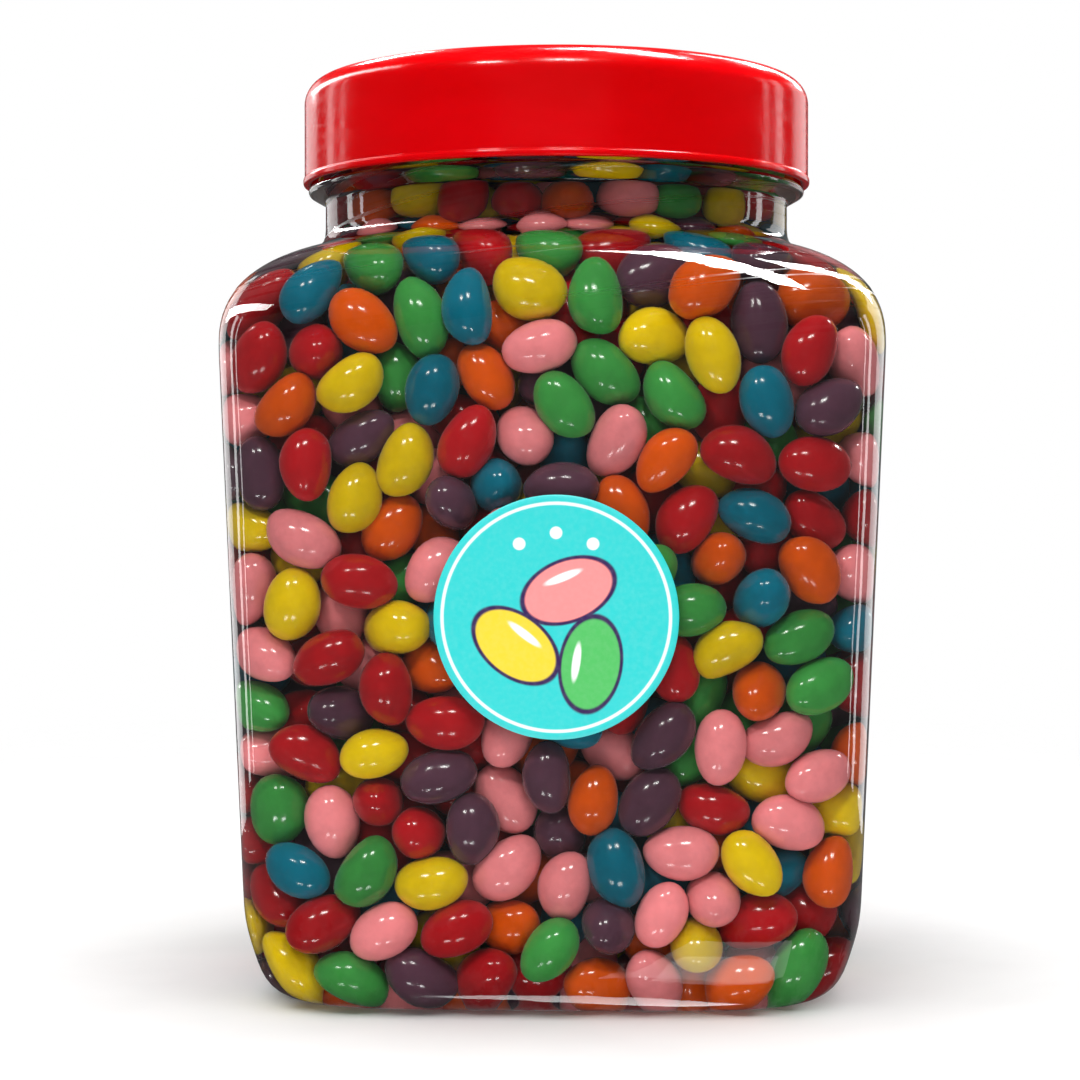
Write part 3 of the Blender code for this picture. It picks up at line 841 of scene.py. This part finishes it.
def cap_material():
    """Glossy injection-moulded plastic: faint flow marks, orange peel and hairline scuffs."""
    graph = Graph("red_plastic")
    flow = graph.noise(18, 3.0, 0.55, (1, 1, 3))
    peel = graph.noise(520, 2.0)
    scuff = graph.noise(90, 4.0, 0.7, (1, 1, 9))
    graph.set(Base_Color=graph.mix(graph.ramp(flow, 0.3, 0.7), (0.50, 0.0, 0.001), (0.57, 0.0, 0.002)))
    graph.set(Roughness=graph.ramp(scuff, 0.35, 0.8, 0.12, 0.24))
    graph.shader.inputs["Specular IOR Level"].default_value = 0.3
    graph.shader.inputs["IOR"].default_value = 1.49
    graph.shader.inputs["Subsurface Weight"].default_value = 0.5
    graph.shader.inputs["Subsurface Radius"].default_value = (1.0, 0.12, 0.08)
    graph.shader.inputs["Subsurface Scale"].default_value = 0.004
    graph.bump(graph.math("ADD", peel, graph.math("MULTIPLY", flow, 3.0)), 0.06, 0.0005)
    return graph.material


def liner_material():
    """Off-white foam with fine open cells."""
    graph = Graph("foam_liner")
    cells = graph.node("ShaderNodeTexVoronoi", {"Vector": graph.place(), "Scale": 1500}).outputs["Distance"]
    patch = graph.noise(60, 3.0)
    graph.set(Base_Color=graph.mix(graph.ramp(patch, 0.3, 0.7), (0.80, 0.80, 0.78), (0.90, 0.90, 0.88)))
    graph.set(Roughness=graph.ramp(cells, 0.0, 0.6, 0.5, 0.8))
    graph.bump(cells, 0.35, 0.0003)
    return graph.material


def jar_material():
    """Clear blow-moulded plastic: slightly wavy, scuffed at the heel, drawn lines on the shoulder.

    Rays that carry light to what is inside go straight through.
    """
    graph = Graph("clear_jar")
    height = graph.node("ShaderNodeSeparateXYZ", {0: graph.place()}).outputs[2]
    graph.set(Base_Color=(0.97, 0.985, 0.98))
    graph.shader.inputs["Transmission Weight"].default_value = 1.0
    graph.shader.inputs["IOR"].default_value = 1.5
    foot = graph.ramp(height, 6 * MM, 26 * MM, 1.0, 0.0)
    scuffs = graph.ramp(graph.noise(120, 4.0, 0.7, (1, 1, 0.4)), 0.45, 0.75, 0.0, 0.22)
    rubbed = graph.ramp(height, SHOULDER_START - 4 * MM, SHOULDER_START + 8 * MM)
    lines = graph.noise(45, 3.0, 0.6, (0.12, 0.12, 14), (0.05, 0.14, 0.0))
    lines = graph.ramp(lines, 0.50, 0.62, 0.0, 0.30)
    scuffs = graph.math("MULTIPLY", foot, scuffs)
    graph.set(Roughness=graph.math("ADD", scuffs, graph.math("MULTIPLY", rubbed, lines)))
    wave = graph.noise(26, 2.0, 0.5)
    drawn = graph.noise(40, 3.0, 0.6, (0.25, 0.25, 9))
    above = graph.math("ADD", graph.ramp(height, SHOULDER_START, SHOULDER_START + 12 * MM), 0.15)
    drawn = graph.math("MULTIPLY", graph.math("MULTIPLY", drawn, 0.12), above)
    graph.bump(graph.math("ADD", wave, drawn), 0.5, 0.0012)
    surface = graph.shader.outputs[0]
    clear = graph.node("ShaderNodeBsdfTransparent", {"Color": (0.97, 0.98, 0.975)}).outputs[0]
    path = graph.node("ShaderNodeLightPath")
    for ray in ("Is Glossy Ray", "Is Diffuse Ray", "Is Shadow Ray"):
        surface = graph.node("ShaderNodeMixShader", {0: path.outputs[ray], 1: surface, 2: clear}).outputs[0]
    graph.feed(graph.output.inputs["Surface"], surface)
    return graph.material


def label_material():
    """A printed paper sticker: aqua ground, a thin ring, three dots and three plain jelly beans."""
    graph = Graph("label_print")
    middle = (LABEL_LOW + LABEL_HIGH) / 2
    radius = (LABEL_HIGH.x - LABEL_LOW.x) / 2
    axes = graph.node("ShaderNodeSeparateXYZ", {0: graph.place()})
    across = graph.math("DIVIDE", graph.math("SUBTRACT", axes.outputs[0], middle.x), radius)
    up = graph.math("DIVIDE", graph.math("SUBTRACT", axes.outputs[2], middle.z), radius)

    def oval(x, y, long, short, degrees):
        """How far a point lies outside an oval, in label radii; inside is negative."""
        cosine, sine = math.cos(math.radians(degrees)), math.sin(math.radians(degrees))
        dx = graph.math("SUBTRACT", across, x)
        dy = graph.math("SUBTRACT", up, y)
        along = graph.math("ADD", graph.math("MULTIPLY", dx, cosine), graph.math("MULTIPLY", dy, sine))
        side = graph.math("SUBTRACT", graph.math("MULTIPLY", dy, cosine), graph.math("MULTIPLY", dx, sine))
        along = graph.math("DIVIDE", along, long)
        side = graph.math("DIVIDE", side, short)
        square = graph.math("ADD", graph.math("MULTIPLY", along, along), graph.math("MULTIPLY", side, side))
        return graph.math("MULTIPLY", graph.math("SUBTRACT", graph.math("SQRT", square), 1.0), short)

    def within(distance, grow=0.0):
        return graph.ramp(distance, grow + INK_EDGE, grow - INK_EDGE)

    rim = graph.math("ABSOLUTE", oval(0, 0, RING_RADIUS, RING_RADIUS, 0))
    colour = graph.mix(within(rim, RING_HALF_WIDTH), AQUA, WHITE)
    for x, y in DOTS:
        colour = graph.mix(within(oval(x, y, DOT_RADIUS, DOT_RADIUS, 0)), colour, WHITE)
    long, short = PRINTED_BEAN
    for x, y, degrees, ink in PRINTED_BEANS:
        shape = oval(x, y, long, short, degrees)
        up_x, up_y = -math.sin(math.radians(degrees)), math.cos(math.radians(degrees))
        shine = oval(x + up_x * short * 0.5, y + up_y * short * 0.5, long * 0.42, short * 0.14, degrees)
        colour = graph.mix(within(shape, OUTLINE_WIDTH), colour, OUTLINE)
        colour = graph.mix(within(shape), colour, ink)
        colour = graph.mix(within(shine), colour, WHITE)
    fibre = graph.noise(900, 3.0)
    graph.set(Base_Color=graph.mix(graph.ramp(fibre, 0.3, 0.8, 0, 0.03), colour, WHITE))
    graph.set(Roughness=graph.ramp(fibre, 0.2, 0.8, 0.30, 0.42))
    graph.bump(fibre, 0.08, 0.0002)
    return graph.material


def floor_material():
    """A pale matt floor that fades out into the backdrop's white."""
    graph = Graph("pale_floor")
    where = graph.place()
    away = graph.node("ShaderNodeVectorMath", {0: where}, operation="LENGTH").outputs["Value"]
    grain = graph.noise(30, 3.0)
    graph.set(Base_Color=graph.mix(graph.ramp(grain, 0.3, 0.7), (0.93, 0.93, 0.93), (0.96, 0.96, 0.96)))
    graph.set(Roughness=0.8)
    clear = graph.node("ShaderNodeBsdfTransparent").outputs[0]
    inputs = {0: graph.ramp(away, *FLOOR_FADE), 1: graph.shader.outputs[0], 2: clear}
    graph.feed(graph.output.inputs["Surface"], graph.node("ShaderNodeMixShader", inputs).outputs[0])
    return graph.material


# ---------------------------------------------------------------- studio


def build_floor():
    """A round sheet just below the object. It casts no shadow, and no gloss shows it."""
    bm = bmesh.new()
    bmesh.ops.create_circle(bm, cap_ends=True, segments=64, radius=FLOOR_RADIUS)
    mesh = bpy.data.meshes.new("floor")
    bm.to_mesh(mesh)
    bm.free()
    floor = new_object("floor", mesh, floor_material())
    floor.location.z = -0.2 * MM
    floor.visible_glossy = False
    floor.visible_shadow = False
    return floor


def build_world():
    """White behind the object, a dim room in its gloss and a brighter one in the jar's own."""
    world = bpy.data.worlds.new("studio")
    world.use_nodes = True
    bpy.context.scene.world = world
    tree = world.node_tree
    room = tree.nodes["Background"]
    room.inputs["Color"].default_value = (0.95, 0.97, 1.0, 1)
    room.inputs["Strength"].default_value = ROOM_IN_GLOSS
    white = tree.nodes.new("ShaderNodeBackground")
    white.inputs["Color"].default_value = (1, 1, 1, 1)
    path = tree.nodes.new("ShaderNodeLightPath")
    sight = tree.nodes.new("ShaderNodeMath")
    sight.operation = "MAXIMUM"
    tree.links.new(path.outputs["Is Camera Ray"], sight.inputs[0])
    tree.links.new(path.outputs["Is Transmission Ray"], sight.inputs[1])
    sharp = tree.nodes.new("ShaderNodeMath")
    sharp.operation = "MULTIPLY"
    sharp.inputs[1].default_value = ROOM_IN_JAR
    tree.links.new(path.outputs["Is Singular Ray"], sharp.inputs[0])
    most = tree.nodes.new("ShaderNodeMath")
    most.operation = "MAXIMUM"
    tree.links.new(sight.outputs[0], most.inputs[0])
    tree.links.new(sharp.outputs[0], most.inputs[1])
    mixed = tree.nodes.new("ShaderNodeMixShader")
    tree.links.new(most.outputs[0], mixed.inputs[0])
    tree.links.new(room.outputs[0], mixed.inputs[1])
    tree.links.new(white.outputs[0], mixed.inputs[2])
    tree.links.new(mixed.outputs[0], tree.nodes["World Output"].inputs["Surface"])


def add_lamp(name, place_at, size, power, colour=(1, 1, 1), mirrored=True, only=None):
    """A soft panel, turned to the object. One that isn't mirrored doesn't show in any gloss.

    With only, it lights nothing but the objects of that collection.
    """
    data = bpy.data.lights.new(name, "AREA")
    data.shape = "RECTANGLE"
    data.size, data.size_y = size
    data.energy = power
    data.color = colour
    lamp = bpy.data.objects.new(name, data)
    lamp.visible_camera = False
    lamp.visible_transmission = False
    lamp.visible_glossy = mirrored
    lamp.location = place_at
    aim = Vector(CENTRE) - Vector(place_at)
    lamp.rotation_euler = aim.to_track_quat("-Z", "Y").to_euler()
    bpy.context.scene.collection.objects.link(lamp)
    if only:
        lamp.light_linking.receiver_collection = only
    return lamp


def add_strip(name, start, end, width, power, only):
    """A long lamp between two points, turned to the object."""
    start, end = Vector(start), Vector(end)
    middle = (start + end) / 2
    lamp = add_lamp(name, middle, ((end - start).length, width), power, only=only)
    away = (middle - Vector(CENTRE)).normalized()
    across = end - start
    across = (across - away * across.dot(away)).normalized()
    lamp.rotation_euler = Matrix((across, away.cross(across), away)).transposed().to_euler()


def build_lights(shells, solids, ground):
    """Small ceiling lamps light all but the jar; long strips and cards shine in the jar and the cap.

    The lamps under the floor shine in the jar's heel.
    """
    add_lamp("left_lamp", (-0.60, -1.0, 1.05), (0.26, 0.14), 7, (1, 0.97, 0.93), only=solids)
    add_lamp("right_lamp", (0.10, -1.05, 1.15), (0.32, 0.15), 9, (1, 0.98, 0.95), only=solids)
    add_lamp("low_left", (-0.45, -0.9, -0.85), (0.30, 0.16), 1.8, only=solids)
    add_lamp("low_right", (0.15, -0.9, -0.85), (0.30, 0.16), 1.8, only=solids)
    add_lamp("top_soft", (0.0, -0.2, 1.50), (1.4, 1.2), 18, mirrored=False)
    add_lamp("front_soft", (0.0, -1.9, 0.45), (1.8, 1.0), 8, mirrored=False)
    add_lamp("back_soft", (0.0, 1.9, 0.6), (1.8, 1.0), 8, mirrored=False)
    add_lamp("left_soft", (-1.9, 0.2, 0.5), (1.6, 1.0), 3, mirrored=False)
    add_lamp("right_soft", (1.9, 0.2, 0.5), (1.6, 1.0), 3, mirrored=False)
    add_lamp("back_left_lamp", (-0.45, 1.05, 1.10), (0.32, 0.15), 8, only=solids)
    add_lamp("back_right_lamp", (0.65, 0.95, 1.05), (0.26, 0.14), 7, only=solids)
    add_strip("shoulder_right", (0.02, 0.34, 1.20), (0.60, -0.06, 1.22), 0.30, 28, shells)
    add_strip("shoulder_left", (-1.15, -0.05, 1.12), (-0.75, 1.05, 0.42), 0.16, 9, shells)
    add_strip("shoulder_far", (0.40, 0.72, 1.22), (0.62, 1.18, 0.55), 0.14, 5, shells)
    add_lamp("heel_card", (0.42, -0.85, -0.72), (0.75, 0.42), 1.6, only=shells)
    add_lamp("heel_glow", (0.34, -0.80, -0.82), (0.55, 0.24), 0.8, only=shells)
    add_lamp("heel_line", (0.04, -0.01, -1.0), (0.8, 0.15), 2.3, only=shells)
    add_lamp("floor_soft", (0, 0, 1.8), (2.2, 2.2), 26, mirrored=False, only=ground)
    for side in (-1, 1):
        for degrees, width, power in SIDE_CARDS:
            turn = math.radians(degrees)
            spot = (side * CARD_DISTANCE * math.sin(turn), -CARD_DISTANCE * math.cos(turn), 0.25)
            add_lamp(f"card_{degrees}_{side}", spot, (width, 0.8), power, only=shells)


def build_camera():
    """The camera stands in front at half height, a little to the right of the label."""
    data = bpy.data.cameras.new("camera")
    data.sensor_width = 36
    data.lens = CAMERA_LENS
    data.clip_start = 0.01
    camera = bpy.data.objects.new("camera", data)
    camera.location = CAMERA_AT
    camera.rotation_euler = (math.radians(90 - CAMERA_DOWN), 0, math.radians(CAMERA_LEFT))
    bpy.context.scene.collection.objects.link(camera)
    bpy.context.scene.camera = camera


def main():
    """The jar and the cap shine in the cards; all that is solid is lit by the ceiling lamps."""
    build_camera()
    build_world()
    ground = bpy.data.collections.new("ground")
    ground.objects.link(build_floor())
    bpy.context.scene.view_settings.view_transform = "Standard"
    shells = bpy.data.collections.new("shells")
    solids = bpy.data.collections.new("solids")
    cap = build_cap(cap_material())
    shells.objects.link(build_jar(jar_material()))
    shells.objects.link(cap)
    solids.objects.link(cap)
    solids.objects.link(build_liner(liner_material()))
    solids.objects.link(build_label(label_material()))
    materials = {name: bean_material(name, colour) for name, (colour, _) in BEANS.items()}
    materials["bulk"] = bulk_material()
    build_beans(materials, solids)
    build_lights(shells, solids, ground)


main()
